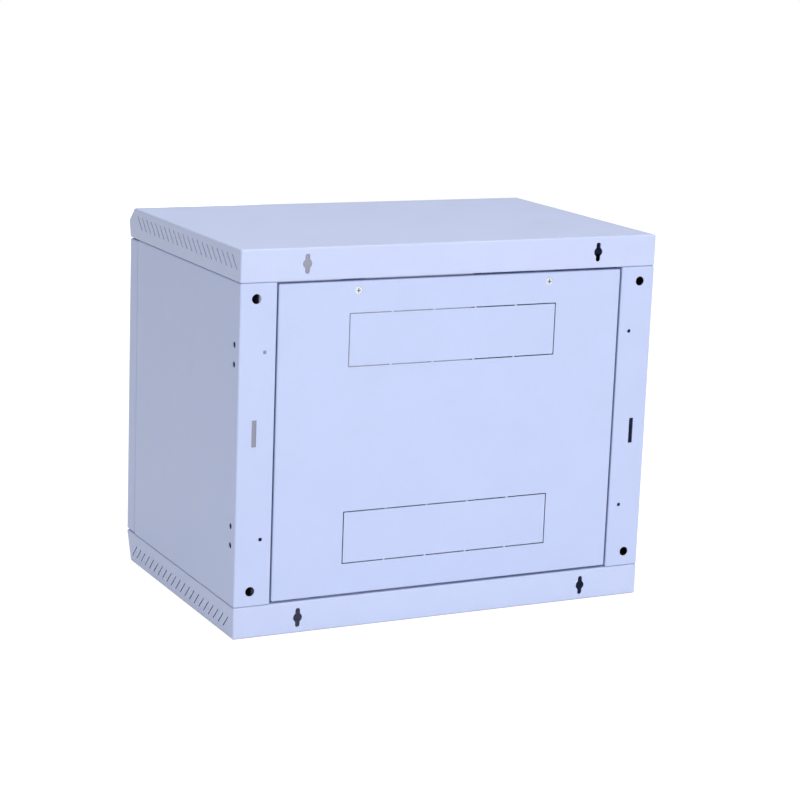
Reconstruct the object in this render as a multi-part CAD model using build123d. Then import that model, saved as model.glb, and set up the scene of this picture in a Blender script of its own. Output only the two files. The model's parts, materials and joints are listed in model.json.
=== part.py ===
from build123d import *
import os

# A wall mount network cabinet for 19-inch equipment. Folded steel covers close the top and the
# bottom of two bent side panels, a removable panel closes the rear, a glass door the front, and
# four mounting rails slide in depth along channels inside. The front faces -Y, the wall side
# faces +Y, and the origin lies under the middle of the cabinet.

# Width: the rack's opening, and on each side a rail's face, a channel and a side panel's sheet
rack_mouth = 451.0  # set by the 19-inch standard
rail_face = 47.3
channel_wide = 26.0
side_sheet = 1.2
width = rack_mouth + 2 * (rail_face + channel_wide + side_sheet)

# Outer form
body_depth = 395.0  # door face to rear face
height = 500.0
skirt = 42.0  # height of the sides of both covers
nose_reach = 5.0  # how far the top cover's nose stands out in front of the door
nose_drop = 18.0  # roof down to the nose's edge
roof_set_back = 15.0  # door face back to the front edge of the roof
toe_set_back = 17.5  # door face back to the front edge of the floor

# Sheets and bends
cover_sheet = 1.2
rear_sheet = 1.2
door_sheet = 1.2
channel_sheet = 1.5
rail_sheet = 1.5
bracket_sheet = 1.5
inner_bend = 1.2

# Flanges
cover_side_flange = 20.0
cover_front_flange = 30.0
cover_rear_flange = 30.0
panel_flange = 20.0
strip = 50.0  # width of the strip that a side panel shows at the rear
strip_return = 15.0

# Vents in the covers' sides
vent_pitch = 16.8
vent_long = 24.0
vent_wide = 2.0
vent_lean = 45.0
vent_inset = 18.0  # from the roof or the floor to the middle of a vent
vent_start = 33.0  # door face to the first vent, or a little more
vent_end_top = 20.5  # rear face to the last vent
vent_end_bottom = 25.0

# Keyholes for the wall screws
keyhole_inset_x = 89.5
keyhole_inset_z = 20.5  # from the roof or the floor
keyhole_radius = 6.25
keyhole_slot = 25.5
keyhole_slot_wide = 6.5

# Holes in the side panels, measured from the flank and from the covers' edges
access_radius = 6.25
access_inset_x = 22.0
access_inset_z = 20.0
pilot_radius = 2.5
pilot_inset_x = 34.5
pilot_inset_z = 87.5
strip_slot_long = 34.5
strip_slot_wide = 6.2
strip_slot_inset_x = 22.5
strip_slot_shift = 17.25  # above mid-height on the right, below it on the left
flank_hole_radius = 4.0
flank_hole_inset_y = 15.6
flank_hole_inset_z = 91.5
flank_hole_gap = 25.0

# Rear panel
rear_gap_side = 2.2
rear_gap_end = 2.8
rear_set_in = 0.8
rear_panel_fold = 12.0
knockout_wide = 299.0
knockout_tall = 68.5
knockout_inset_z = 75.7  # panel's end to the middle of a knock-out
knockout_slit = 1.4
knockout_tab = 2.5
knockout_parts = 5
hook_x = 180.0
hook_wide = 14.0
hook_drop = 7.0  # below the bottom cover's flange
hook_clearance = 0.7
rear_screw_x = 138.5
rear_screw_drop = 57.0  # roof down to the screw
sink_radius = 5.3
rear_screw_hole = 2.75
rear_screw_radius = 2.5
rear_screw_length = 14.0
cross_wide = 1.5
cross_long = 5.4
cross_deep = 2.4
floor_knockout_inset = 90.0

# Brackets behind the rear panel
rear_bracket_wide = 34.0
rear_bracket_tip = 13.0  # below the screw
rear_bracket_clear_z = 1.8
rear_bracket_clear_y = 4.2
rear_bracket_edge = 1.5  # behind the flange's edge
rivet_inset = 6.5  # flange's edge to the rivets
rivet_spread = 9.0
rivet_radius = 2.4
rivet_head = 4.0
rivet_tail = 3.4
rivet_head_sheet = 1.2

# Channels that carry the mounting rails
channel_tall = 30.0
channel_lift = 9.5  # above the bottom cover's flange
channel_end_gap = 2.4
channel_stud_front = 75.0  # from the side panel's front flange
channel_stud_rear = 100.0  # from the rear face
slot_clear = 0.5

# Mounting rails, 19-inch pattern
unit = 44.45
hole_steps = (6.35, 22.225, 38.1)
rack_hole = 9.5
rack_hole_inset = 7.05  # rail's edge to the middle of its holes
rail_fold = 30.0
rail_stiffener = 12.0
rail_end_gap = 5.0
front_rail_inset = 60.0  # door face to the front rails
rear_rail_inset = 130.0  # rear face to the rear rails
front_rail_travel = (-15.0, 80.0)
rear_rail_travel = (-60.0, 100.0)
rail_bolt_inset = 18.0

# Door
door_depth = 30.0
door_gap_rear = 0.8
door_gap_side = 0.5
door_gap_top = 1.2
door_gap_bottom = 0.8
door_lip = 14.0
window_border_side = 61.5
window_border_end = 30.0
window_corner = 12.0
glass_sheet = 5.0
glass_bevel = 0.6
glass_lap = 11.0
gasket_sheet = 2.0
gasket_lap = 9.0
clip_wide = 16.0
clip_foot = 12.0
clip_tongue = 10.0
clip_stud_at = 5.5
clip_gap = 2.0
clip_x = 140.0
clip_z = 80.0
buffer_radius = 4.0
buffer_slack = 0.3
buffer_inset_z = 78.0

# Hinges
hinge_inset_side = 6.0  # from the door's edge
hinge_inset_front = 14.0  # from the door's face
hinge_pin_radius = 2.5
running = 0.06
bush_radius = 4.0
bush_collar = 5.0
bush_long = 5.0
upper_collar_sheet = 0.6
pin_reach = 7.5  # above the door
hinge_bracket_tall = 52.0
hinge_bracket_wide = 15.0
hinge_bracket_deep = 20.8
hinge_bracket_edge = 4.5  # from the pin's axis
hinge_bracket_drop = 5.0  # below the door's top
lower_bracket_tall = 28.0
lower_bracket_lift = 9.5  # above the door's underside
pin_tail = 24.0
pin_tail_drop = 12.0
stop_ring_radius = 4.2
stop_ring_sheet = 3.0
spring_wire = 0.9
spring_radius = 3.6
spring_turns = 7.0

# Lock
lock_inset = 32.5  # from the door's edge
lock_barrel = 9.5
lock_flat = 8.25
lock_face = 11.5
lock_face_sheet = 3.5
lock_face_bevel = 1.0
rotor_radius = 6.0
rotor_head_radius = 8.0
rotor_head_sheet = 2.5
rotor_proud = 0.5
rotor_square = 7.0
key_slot = (2.0, 8.0, 2.5)  # wide, long, deep
cam_sheet = 2.0
cam_wide = 16.0
cam_tail = 8.0
cam_flat = 6.5  # lock's axis to the crank
cam_reach = 27.0
cam_gap = 0.8
cam_crank = 2.8  # step from the cylinder's end back to the tongue's tip
cam_screw_long = 7.5
cam_screw_hole = 8.0
cam_screw_head = 4.5
lock_nut_across = 24.0
lock_nut_sheet = 4.8

# Fasteners: radius, hexagon across flats, head height, nut height
m4 = (2.0, 7.0, 2.8, 3.2)
m5 = (2.5, 8.0, 3.5, 4.0)
m6 = (3.0, 10.0, 4.0, 5.0)
thread_slack = 0.05
thread_end = 2.0  # thread that shows past a nut
hole_slack = 0.3
cover_bolt_front = 24.0  # from the side panel's front flange
cover_bolt_rear = 50.0  # from the rear face
ground_inset_x = 50.0
ground_inset_y = 75.0
ground_stud_long = 18.0

# Planes of the main faces
y_rear = (body_depth + nose_reach) / 2
y_door = y_rear - body_depth
y_door_back = y_door + door_depth
y_panel = y_door_back + door_gap_rear
z_mid = height / 2
z_low = skirt
z_high = height - skirt
side_inner = width / 2 - side_sheet
door_half = width / 2 - door_gap_side
door_low = z_low + door_gap_bottom
door_high = z_high - door_gap_top
hinge_x = -door_half + hinge_inset_side
hinge_y = y_door + hinge_inset_front
cut = 4.0  # reach of a cutter each side of a sheet's outer face


# Shared shapes
def folded(points, sheet):
    """Section of a folded strip: the sheet lies to the left of the path."""
    path = [Vector(*point) for point in points]
    runs = [(end - start).normalized() for start, end in zip(path, path[1:])]
    lefts = [Vector(-run.Y, run.X) for run in runs]
    far = [path[0] + lefts[0] * sheet]
    near_radii = []
    far_radii = []
    for before, after in zip(range(len(runs) - 1), range(1, len(runs))):
        mitre = (lefts[before] + lefts[after]) * (sheet / (1 + lefts[before].dot(lefts[after])))
        far.append(path[after] + mitre)
        turns_left = runs[before].cross(runs[after]).Z > 0
        near_radii.append(inner_bend + (sheet if turns_left else 0))
        far_radii.append(inner_bend + (0 if turns_left else sheet))
    far.append(path[-1] + lefts[-1] * sheet)
    near_line = FilletPolyline(*path, radius=near_radii)
    far_line = FilletPolyline(*far, radius=far_radii)
    return make_face([near_line, far_line, Line(path[0], far[0]), Line(path[-1], far[-1])])


def span(x, y, z):
    """Box from (low, high) pairs along each axis."""
    size = [high - low for low, high in (x, y, z)]
    middle = [(high + low) / 2 for low, high in (x, y, z)]
    return Pos(*middle) * Box(*size)


def bent_shell(x, y, z, sheet):
    """Closed box of folded sheet with rounded bends."""
    inside = [(low + sheet, high - sheet) for low, high in (x, y, z)]
    outer = fillet(span(x, y, z).edges(), inner_bend + sheet)
    return outer - fillet(span(*inside).edges(), inner_bend)


def rear_cut(sketch, x, z):
    """Cutter through a sheet at the rear."""
    return extrude(Plane.XZ.offset(-y_rear) * Pos(x, z) * sketch, amount=cut, both=True)


def rod(radius, length):
    """Round rod that starts at the origin and runs along +Z."""
    return Pos(0, 0, length / 2) * Cylinder(radius, length)


def along_y(shape, x, y, z):
    """Turn a shape's +Z to +Y and put its origin at a point."""
    return Pos(x, y, z) * Rot(-90, 0, 0) * shape


def along_x(shape, x, y, z):
    """Turn a shape's +Z to +X and put its origin at a point."""
    return Pos(x, y, z) * Rot(0, 90, 0) * shape


def hexagon(across, length):
    flats = RegularPolygon(radius=across / 2, side_count=6, major_radius=False)
    return extrude(flats, amount=length)


def hex_bolt(size, length):
    """Head below the origin, shank up along +Z."""
    radius, across, head, _ = size
    return Pos(0, 0, -head) * hexagon(across, head) + rod(radius, length)


def hex_nut(size):
    """Nut on the origin, along +Z."""
    radius, across, _, tall = size
    return hexagon(across, tall) - rod(radius + thread_slack, tall)


def group(shapes):
    """Separate solids in one node."""
    return Compound(children=list(shapes))


def to_left(shape):
    return mirror(shape, about=Plane.YZ)


def to_top(shape):
    return mirror(shape, about=Plane.XY.offset(z_mid))


def knockout():
    """Outline of a knock-out plate, cut through but for small tabs on its long sides."""
    ring = Rectangle(knockout_wide + knockout_slit, knockout_tall + knockout_slit)
    ring -= Rectangle(knockout_wide - knockout_slit, knockout_tall - knockout_slit)
    step = knockout_wide / knockout_parts
    places = [(n + 1 - knockout_parts / 2) * step for n in range(knockout_parts - 1)]
    return ring - [Pos(x, 0) * Rectangle(knockout_tab, knockout_tall * 2) for x in places]


# Covers
def cover_shell(outline):
    """Closed folded box from its side outline, as wide as the cabinet."""
    section = make_face(Polyline(*outline, close=True))
    hollow = offset(section, -cover_sheet, kind=Kind.INTERSECTION)
    outer = extrude(Plane.YZ * section, amount=width / 2, both=True)
    inner = extrude(Plane.YZ * hollow, amount=width / 2 - cover_sheet, both=True)
    return fillet(outer.edges(), inner_bend + cover_sheet) - fillet(inner.edges(), inner_bend)


def cover_mouth(z):
    """The opening inside the flange that meets the side panels."""
    half = width / 2 - cover_side_flange
    depth = (y_door + cover_front_flange, y_rear - cover_rear_flange)
    return span((-half, half), depth, (z - cut, z + cut))


def vents(z, lean, last_y):
    slot = Rot(lean, 0, 0) * Box(width + cut, vent_wide, vent_long)
    count = int((last_y - y_door - vent_start) / vent_pitch) + 1
    return [Pos(0, last_y - n * vent_pitch, z) * slot for n in range(count)]


def keyholes(z):
    outline = Circle(keyhole_radius) + SlotOverall(keyhole_slot, keyhole_slot_wide, rotation=90)
    x = width / 2 - keyhole_inset_x
    return [rear_cut(outline, x, z), rear_cut(outline, -x, z)]


bolt_x = width / 2 - cover_side_flange / 2
bolt_ends = (y_panel + cover_bolt_front, y_rear - cover_bolt_rear)
cover_bolt_y = (bolt_ends[0], sum(bolt_ends) / 2, bolt_ends[1])
cover_bolt_places = [(x, y) for x in (-bolt_x, bolt_x) for y in cover_bolt_y]


def flange_holes(z):
    hole = Cylinder(m6[0] + hole_slack, 2 * cut)
    return [Pos(x, y, z) * hole for x, y in cover_bolt_places]


def bush_hole(z):
    return Pos(hinge_x, hinge_y, z) * Cylinder(bush_radius + thread_slack, 2 * cut)


hook_y = y_rear - rear_set_in - rear_panel_fold + rear_sheet / 2
bracket_foot_y = y_rear - cover_rear_flange + rivet_inset
rivet_places = [(side * rear_screw_x + shift, bracket_foot_y)
                for side in (-1, 1) for shift in (-rivet_spread, rivet_spread)]


def top_cover():
    shell = cover_shell([
        (y_door, z_high),
        (y_door - nose_reach, height - nose_drop),
        (y_door + roof_set_back, height),
        (y_rear, height),
        (y_rear, z_high),
    ])
    shell -= cover_mouth(z_high)
    shell -= vents(height - vent_inset, vent_lean, y_rear - vent_end_top)
    shell -= keyholes(height - keyhole_inset_z)
    shell -= flange_holes(z_high)
    shell -= bush_hole(z_high)
    return shell - [Pos(x, y, z_high) * Cylinder(rivet_radius, 2 * cut) for x, y in rivet_places]


def bottom_cover():
    shell = cover_shell([
        (y_door, z_low),
        (y_door + toe_set_back, 0),
        (y_rear, 0),
        (y_rear, z_low),
    ])
    shell -= cover_mouth(z_low)
    shell -= vents(vent_inset, -vent_lean, y_rear - vent_end_bottom)
    shell -= keyholes(keyhole_inset_z)
    shell -= flange_holes(z_low)
    shell -= bush_hole(z_low)
    hook_slot = Box(hook_wide + 2 * hook_clearance, rear_sheet + 2 * hook_clearance, 2 * cut)
    shell -= [Pos(x, hook_y, z_low) * hook_slot for x in (-hook_x, hook_x)]
    plate = Pos(0, y_rear - floor_knockout_inset) * knockout()
    return shell - extrude(plate, amount=cut, both=True)


# Side panels
def side_panel():
    """Right panel: flank, rear strip with its return and flanges on the other edges."""
    inner_x = width / 2 - strip
    shell = bent_shell((inner_x, width / 2), (y_panel, y_rear), (z_low, z_high), side_sheet)
    shell -= span((inner_x - cut, width / 2 - panel_flange),
                  (y_panel - cut, y_rear - strip_return), (0, height))
    for z in (z_low + access_inset_z, z_high - access_inset_z):
        shell -= rear_cut(Circle(access_radius), width / 2 - access_inset_x, z)
    for z in (z_low + pilot_inset_z, z_high - pilot_inset_z):
        shell -= rear_cut(Circle(pilot_radius), width / 2 - pilot_inset_x, z)
    slot = Rectangle(strip_slot_wide, strip_slot_long)
    shell -= rear_cut(slot, width / 2 - strip_slot_inset_x, z_mid + strip_slot_shift)
    hole = Rot(0, 90, 0) * Cylinder(flank_hole_radius, 2 * cut)
    for middle in (z_low + flank_hole_inset_z, z_high - flank_hole_inset_z):
        for z in (middle - flank_hole_gap / 2, middle + flank_hole_gap / 2):
            shell -= Pos(width / 2, y_rear - flank_hole_inset_y, z) * hole
    right_holes = [Pos(bolt_x, y, z) * Cylinder(m6[0] + hole_slack, 2 * cut)
                   for y in cover_bolt_y for z in (z_low, z_high)]
    return shell - right_holes


def turned_over(shape):
    """The same pressing on the left: turned half a turn about the depth axis."""
    return Pos(0, 0, height) * Rot(0, 180, 0) * shape


def cover_bolts():
    bolt = hex_bolt(m6, cover_sheet + side_sheet + m6[3] + thread_end)
    low = [Pos(x, y, z_low - cover_sheet) * bolt for x, y in cover_bolt_places]
    return group(low + [to_top(shape) for shape in low])


def cover_nuts():
    low = [Pos(x, y, z_low + side_sheet) * hex_nut(m6) for x, y in cover_bolt_places]
    return group(low + [to_top(shape) for shape in low])


# Rear panel
rear_face = y_rear - rear_set_in
rear_half = width / 2 - strip - rear_gap_side
rear_low = z_low + rear_gap_end
rear_high = z_high - rear_gap_end
screw_z = height - rear_screw_drop
sink_depth = sink_radius - rear_screw_hole


def rear_panel():
    """Tray that faces the rear, with two knock-outs, two hooks and two dimples for the screws."""
    depth = (rear_face - rear_panel_fold, rear_face)
    tray = bent_shell((-rear_half, rear_half), (depth[0] - cut, depth[1]),
                      (rear_low, rear_high), rear_sheet)
    tray -= span((-width, width), (depth[0] - 2 * cut, depth[0]), (0, height))
    hook_top = rear_low + rear_sheet
    hook_low = z_low - cover_sheet - hook_drop
    for x in (-hook_x, hook_x):
        tray += span((x - hook_wide / 2, x + hook_wide / 2),
                     (hook_y - rear_sheet / 2, hook_y + rear_sheet / 2), (hook_low, hook_top))
    wall = rear_sheet * 2 ** 0.5
    boss_tip = rear_screw_hole + wall
    boss = Cone(boss_tip, boss_tip + sink_depth - rear_sheet, sink_depth - rear_sheet)
    sink = Cone(rear_screw_hole, sink_radius, sink_depth)
    for x in (-rear_screw_x, rear_screw_x):
        tray += along_y(boss, x, rear_face - (rear_sheet + sink_depth) / 2, screw_z)
    for x in (-rear_screw_x, rear_screw_x):
        tray -= along_y(sink, x, rear_face - sink_depth / 2, screw_z)
    for z in (rear_low + knockout_inset_z, rear_high - knockout_inset_z):
        tray -= rear_cut(knockout(), 0, z)
    return tray


def rear_panel_screws():
    """Countersunk screws with a cross recess."""
    head_radius = sink_radius - hole_slack
    head_depth = head_radius - rear_screw_radius
    head = Pos(0, 0, -head_depth / 2) * Cone(rear_screw_radius, head_radius, head_depth)
    screw = head + Rot(180, 0, 0) * rod(rear_screw_radius, rear_screw_length)
    screw -= Box(cross_wide, cross_long, 2 * cross_deep)
    screw -= Box(cross_long, cross_wide, 2 * cross_deep)
    seat = rear_face - hole_slack + thread_slack
    return group(along_y(screw, x, seat, screw_z) for x in (-rear_screw_x, rear_screw_x))


bracket_face = rear_face - sink_depth


def rear_panel_brackets():
    """Stepped brackets that reach from the top cover's flange down behind the rear panel."""
    leg_z = rear_high - rear_sheet - rear_bracket_clear_z
    riser_y = rear_face - rear_panel_fold - rear_bracket_clear_y
    section = folded([
        (bracket_face, screw_z - rear_bracket_tip),
        (bracket_face, leg_z),
        (riser_y, leg_z),
        (riser_y, z_high),
        (y_rear - cover_rear_flange + rear_bracket_edge, z_high),
    ], bracket_sheet)
    bracket = extrude(Plane.YZ * section, amount=rear_bracket_wide / 2, both=True)
    bracket -= along_y(Cylinder(rear_screw_hole, 4 * cut), 0, bracket_face, screw_z)
    for shift in (-rivet_spread, rivet_spread):
        bracket -= Pos(shift, bracket_foot_y, z_high) * Cylinder(rivet_radius, 2 * cut)
    return group(Pos(x, 0, 0) * bracket for x in (-rear_screw_x, rear_screw_x))


def rear_panel_nuts():
    nut = hex_nut(m5)
    y = bracket_face - bracket_sheet - m5[3]
    return group(along_y(nut, x, y, screw_z) for x in (-rear_screw_x, rear_screw_x))


def bracket_rivets():
    grip = bracket_sheet + cover_sheet
    rivet = rod(rivet_radius, grip)
    rivet += Pos(0, 0, -rivet_head_sheet) * rod(rivet_head, rivet_head_sheet)
    rivet += Pos(0, 0, grip) * rod(rivet_tail, rivet_head_sheet)
    return group(Pos(x, y, z_high - bracket_sheet) * rivet for x, y in rivet_places)


# Channels
channel_low = z_low + channel_lift
channel_inner = side_inner - channel_wide
channel_axis = channel_low + channel_tall / 2
channel_span = (y_panel + side_sheet + channel_end_gap, y_rear - side_sheet - channel_end_gap)
channel_stud_y = (y_panel + channel_stud_front, y_rear - channel_stud_rear)
rail_slot_wide = 2 * (m6[0] + slot_clear)


def slot_in_channel(rest_y, travel):
    """Long hole that a rail's bolt slides in."""
    low = rest_y + travel[0] - rail_slot_wide / 2
    high = rest_y + travel[1] + rail_slot_wide / 2
    outline = Pos((low + high) / 2, channel_axis) * SlotOverall(high - low, rail_slot_wide)
    return extrude(Plane.YZ.offset(channel_inner) * outline, amount=cut, both=True)


front_rail_y = y_door + front_rail_inset
rear_rail_y = y_rear - rear_rail_inset
front_bolt_y = front_rail_y + rail_bolt_inset
rear_bolt_y = rear_rail_y - rail_bolt_inset


def depth_rail():
    """Lower right channel, open upwards."""
    section = folded([
        (channel_inner, channel_low + channel_tall),
        (channel_inner, channel_low),
        (side_inner, channel_low),
        (side_inner, channel_low + channel_tall),
    ], channel_sheet)
    start, end = channel_span
    channel = extrude(Plane.XZ.offset(-end) * section, amount=end - start)
    channel -= slot_in_channel(front_bolt_y, front_rail_travel)
    channel -= slot_in_channel(rear_bolt_y, rear_rail_travel)
    hole = Rot(0, 90, 0) * Cylinder(m5[0] + hole_slack, 2 * cut)
    return channel - [Pos(side_inner, y, channel_axis) * hole for y in channel_stud_y]


def four_corners(shapes):
    """Lower right shapes, repeated at the other three corners."""
    right = shapes + [to_top(shape) for shape in shapes]
    return right + [to_left(shape) for shape in right]


def rail_studs():
    stud = Rot(180, 0, 0) * rod(m5[0], channel_sheet + m5[3] + thread_end)
    places = [along_x(stud, side_inner, y, channel_axis) for y in channel_stud_y]
    return group(four_corners(places))


def stud_nuts():
    x = side_inner - channel_sheet - m5[3]
    return group(four_corners([along_x(hex_nut(m5), x, y, channel_axis) for y in channel_stud_y]))


# Mounting rails
rail_web = channel_inner - rail_sheet


def mounting_rail():
    """Front right rail: stiffener, punched face and the web that is bolted to the channels."""
    section = folded([
        (rack_mouth / 2, front_rail_y + rail_stiffener),
        (rack_mouth / 2, front_rail_y),
        (channel_inner, front_rail_y),
        (channel_inner, front_rail_y + rail_fold),
    ], rail_sheet)
    low = z_low + rail_end_gap
    tall = height - 2 * low
    rail = extrude(Plane.XY.offset(low) * section, amount=tall)
    units = int(tall / unit)
    first = z_mid - units * unit / 2
    square = Pos(rack_mouth / 2 + rack_hole_inset, front_rail_y) * Box(rack_hole, 2 * cut, rack_hole)
    rail -= [Pos(0, 0, first + n * unit + step) * square
             for n in range(units) for step in hole_steps]
    hole = Rot(0, 90, 0) * Cylinder(m6[0] + hole_slack, 2 * cut)
    return rail - [Pos(channel_inner, front_bolt_y, z) * hole
                   for z in (channel_axis, height - channel_axis)]


def rail_bolts():
    long = rail_sheet + channel_sheet + m6[3] + thread_end
    bolt = along_x(hex_bolt(m6, long), rail_web, front_bolt_y, channel_axis)
    return group([bolt, to_top(bolt)])


def rail_nuts():
    nut = along_x(hex_nut(m6), channel_inner + channel_sheet, front_bolt_y, channel_axis)
    return group([nut, to_top(nut)])


def to_rear(shape):
    """The rear rails face the other way."""
    return mirror(shape, about=Plane.XZ.offset(-(front_rail_y + rear_rail_y) / 2))


# Door
window_half = door_half - window_border_side
window_low = door_low + window_border_end
window_high = door_high - window_border_end
window_z = (window_low + window_high) / 2
glass_half = window_half + glass_lap
glass_tall = window_high - window_low + 2 * glass_lap
glass_y = y_door + door_sheet + gasket_sheet
lock_x = door_half - lock_inset


def front_plate_cut(sketch, x, z):
    """Cutter through the door's front plate only."""
    plane = Plane.XZ.offset(-(y_door + door_sheet))
    return extrude(plane * Pos(x, z) * sketch, amount=cut, both=True)


def barrel_section(slack):
    """Round with two flats, so that the lock can't turn in the door."""
    return Circle(lock_barrel + slack) & Rectangle(3 * lock_barrel, 2 * (lock_flat + slack))


def door_frame():
    shell = bent_shell((-door_half, door_half), (y_door, y_door_back), (door_low, door_high),
                       door_sheet)
    shell -= span((-door_half + door_lip, door_half - door_lip),
                  (y_door_back - cut, y_door_back + cut), (door_low + door_lip, door_high - door_lip))
    window = RectangleRounded(2 * window_half, window_high - window_low, window_corner)
    shell -= front_plate_cut(window, 0, window_z)
    shell -= front_plate_cut(barrel_section(thread_slack), lock_x, z_mid)
    pin_hole = Cylinder(hinge_pin_radius + hole_slack, 2 * cut)
    return shell - [Pos(hinge_x, hinge_y, z) * pin_hole for z in (door_low, door_high)]


def door_glass():
    pane = span((-glass_half, glass_half), (glass_y, glass_y + glass_sheet),
                (window_z - glass_tall / 2, window_z + glass_tall / 2))
    return chamfer(pane.edges(), glass_bevel)


def glass_gasket():
    """Flat rubber frame between the front plate and the glass."""
    ring = Rectangle(2 * glass_half, glass_tall)
    ring -= Rectangle(2 * (glass_half - gasket_lap), glass_tall - 2 * gasket_lap)
    return extrude(Plane.XZ.offset(-glass_y) * Pos(0, window_z) * ring, amount=gasket_sheet)


def clip_places():
    """Where a clip's foot starts and which way it points: around the glass."""
    side = glass_half + clip_gap + clip_foot
    end = glass_tall / 2 + clip_gap + clip_foot
    for z in (window_z - clip_z, window_z + clip_z):
        yield Pos(-side, 0, z)
        yield Pos(side, 0, z) * Rot(0, 180, 0)
    for x in (-clip_x, clip_x):
        yield Pos(x, 0, window_z + end) * Rot(0, 90, 0)
        yield Pos(x, 0, window_z - end) * Rot(0, -90, 0)


def glass_clips():
    """Stepped clips that press the glass against its gasket."""
    foot_y = y_door + door_sheet
    top_y = glass_y + glass_sheet
    section = folded([
        (0, foot_y),
        (clip_foot, foot_y),
        (clip_foot, top_y),
        (clip_foot + clip_tongue, top_y),
    ], bracket_sheet)
    clip = extrude(section, amount=clip_wide / 2, both=True)
    clip -= along_y(Cylinder(m4[0] + hole_slack, 3 * cut), clip_stud_at, foot_y, 0)
    return group(place * clip for place in clip_places())


def clip_studs():
    stud = rod(m4[0], bracket_sheet + m4[3] + thread_end)
    stud = along_y(stud, clip_stud_at, y_door + door_sheet, 0)
    return group(place * stud for place in clip_places())


def clip_nuts():
    nut = along_y(hex_nut(m4), clip_stud_at, y_door + door_sheet + bracket_sheet, 0)
    return group(place * nut for place in clip_places())


def door_buffers():
    """Rubber buttons on the right panel's flange, just clear of the closed door."""
    button = Rot(180, 0, 0) * rod(buffer_radius, door_gap_rear - buffer_slack)
    x = width / 2 - panel_flange / 2
    low = along_y(button, x, y_panel, z_low + buffer_inset_z)
    return group([low, to_top(low)])


# Hinges
bracket_back = y_door + door_sheet
bracket_left = hinge_x - hinge_bracket_edge
bracket_top = door_high - hinge_bracket_drop
upper_leg = bracket_top - bracket_sheet
lower_leg = bracket_top - hinge_bracket_tall
ring_low = upper_leg - stop_ring_sheet
lower_bracket_z = door_low + lower_bracket_lift


def hinge_bracket(points):
    """Folded bracket on the back of the door's front plate, clear of the door's bend."""
    section = folded(points, bracket_sheet)
    plane = Plane.YZ.offset(bracket_left)
    bracket = extrude(plane * section, amount=hinge_bracket_wide)
    corner = -door_half + door_sheet + inner_bend
    return bracket - span((bracket_left - cut, corner), (y_door, bracket_back + inner_bend),
                          (0, height))


def upper_hinge_bracket():
    front = bracket_back + hinge_bracket_deep
    bracket = hinge_bracket([
        (front, bracket_top),
        (bracket_back, bracket_top),
        (bracket_back, lower_leg),
        (front, lower_leg),
    ])
    hole = Pos(hinge_x, hinge_y, 0) * rod(hinge_pin_radius + running, height)
    return bracket - hole


def lower_hinge_bracket():
    front = bracket_back + hinge_bracket_deep
    bracket = hinge_bracket([
        (bracket_back, lower_bracket_z + lower_bracket_tall),
        (bracket_back, lower_bracket_z),
        (front, lower_bracket_z),
    ])
    return bracket - Pos(hinge_x, hinge_y, 0) * rod(hinge_pin_radius + thread_slack, height)


def upper_hinge_pin():
    """Round pin with a stop ring and a bent tail to pull it down by."""
    low = lower_leg - pin_tail_drop
    route = FilletPolyline(
        (hinge_x, hinge_y, door_high + pin_reach),
        (hinge_x, hinge_y, low),
        (hinge_x + pin_tail, hinge_y, low),
        radius=2 * hinge_pin_radius,
    )
    start = Plane(origin=route @ 0, z_dir=route % 0)
    pin = sweep(start * Circle(hinge_pin_radius), path=route)
    return pin + Pos(hinge_x, hinge_y, ring_low) * rod(stop_ring_radius, stop_ring_sheet)


def pin_spring():
    """Coil between the bracket's lower leg and the pin's stop ring."""
    seat = lower_leg + bracket_sheet + spring_wire / 2
    tall = ring_low - spring_wire / 2 - seat
    coil = Helix(pitch=tall / spring_turns, height=tall, radius=spring_radius)
    start = Plane(origin=coil @ 0, z_dir=coil % 0)
    wire = sweep(start * Circle(spring_wire / 2), path=coil)
    return Pos(hinge_x, hinge_y, seat) * wire


def lower_hinge_pin():
    """Fixed pin: its head rests on the bracket, its end turns in the bush."""
    low = z_low - bush_long
    top = lower_bracket_z + bracket_sheet
    pin = Pos(hinge_x, hinge_y, low) * rod(hinge_pin_radius, top - low)
    return pin + Pos(hinge_x, hinge_y, top) * rod(stop_ring_radius, stop_ring_sheet)


def hinge_bush(collar):
    """Plastic bush: collar on the seam side, body through the cover's flange."""
    body = Pos(0, 0, -bush_long) * rod(bush_radius, bush_long) + rod(bush_collar, collar)
    return body - Pos(0, 0, -bush_long) * rod(hinge_pin_radius + running, bush_long + collar)


def lower_hinge_bush():
    return Pos(hinge_x, hinge_y, z_low) * hinge_bush(door_gap_bottom)


def upper_hinge_bush():
    return Pos(hinge_x, hinge_y, z_high) * Rot(180, 0, 0) * hinge_bush(upper_collar_sheet)


# Lock, drawn from its face along +Z, then turned to point to the rear
lock_tip_y = y_panel + side_sheet + cam_gap
lock_end_y = lock_tip_y - cam_crank
lock_long = lock_end_y - y_door


def on_lock_axis(shape):
    return along_y(shape, lock_x, y_door, z_mid)


def lock_body():
    body = extrude(barrel_section(0), amount=lock_long)
    face = Pos(0, 0, -lock_face_sheet) * rod(lock_face, lock_face_sheet)
    body += chamfer(face.edges().sort_by(Axis.Z)[0], lock_face_bevel)
    body -= rod(rotor_radius + running, lock_long)
    recess = rotor_head_sheet - rotor_proud
    body -= Pos(0, 0, -lock_face_sheet) * rod(rotor_head_radius + running, recess)
    body -= Pos(0, 0, -lock_face_sheet) * rod(rotor_radius + running, lock_face_sheet)
    return on_lock_axis(body)


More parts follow.
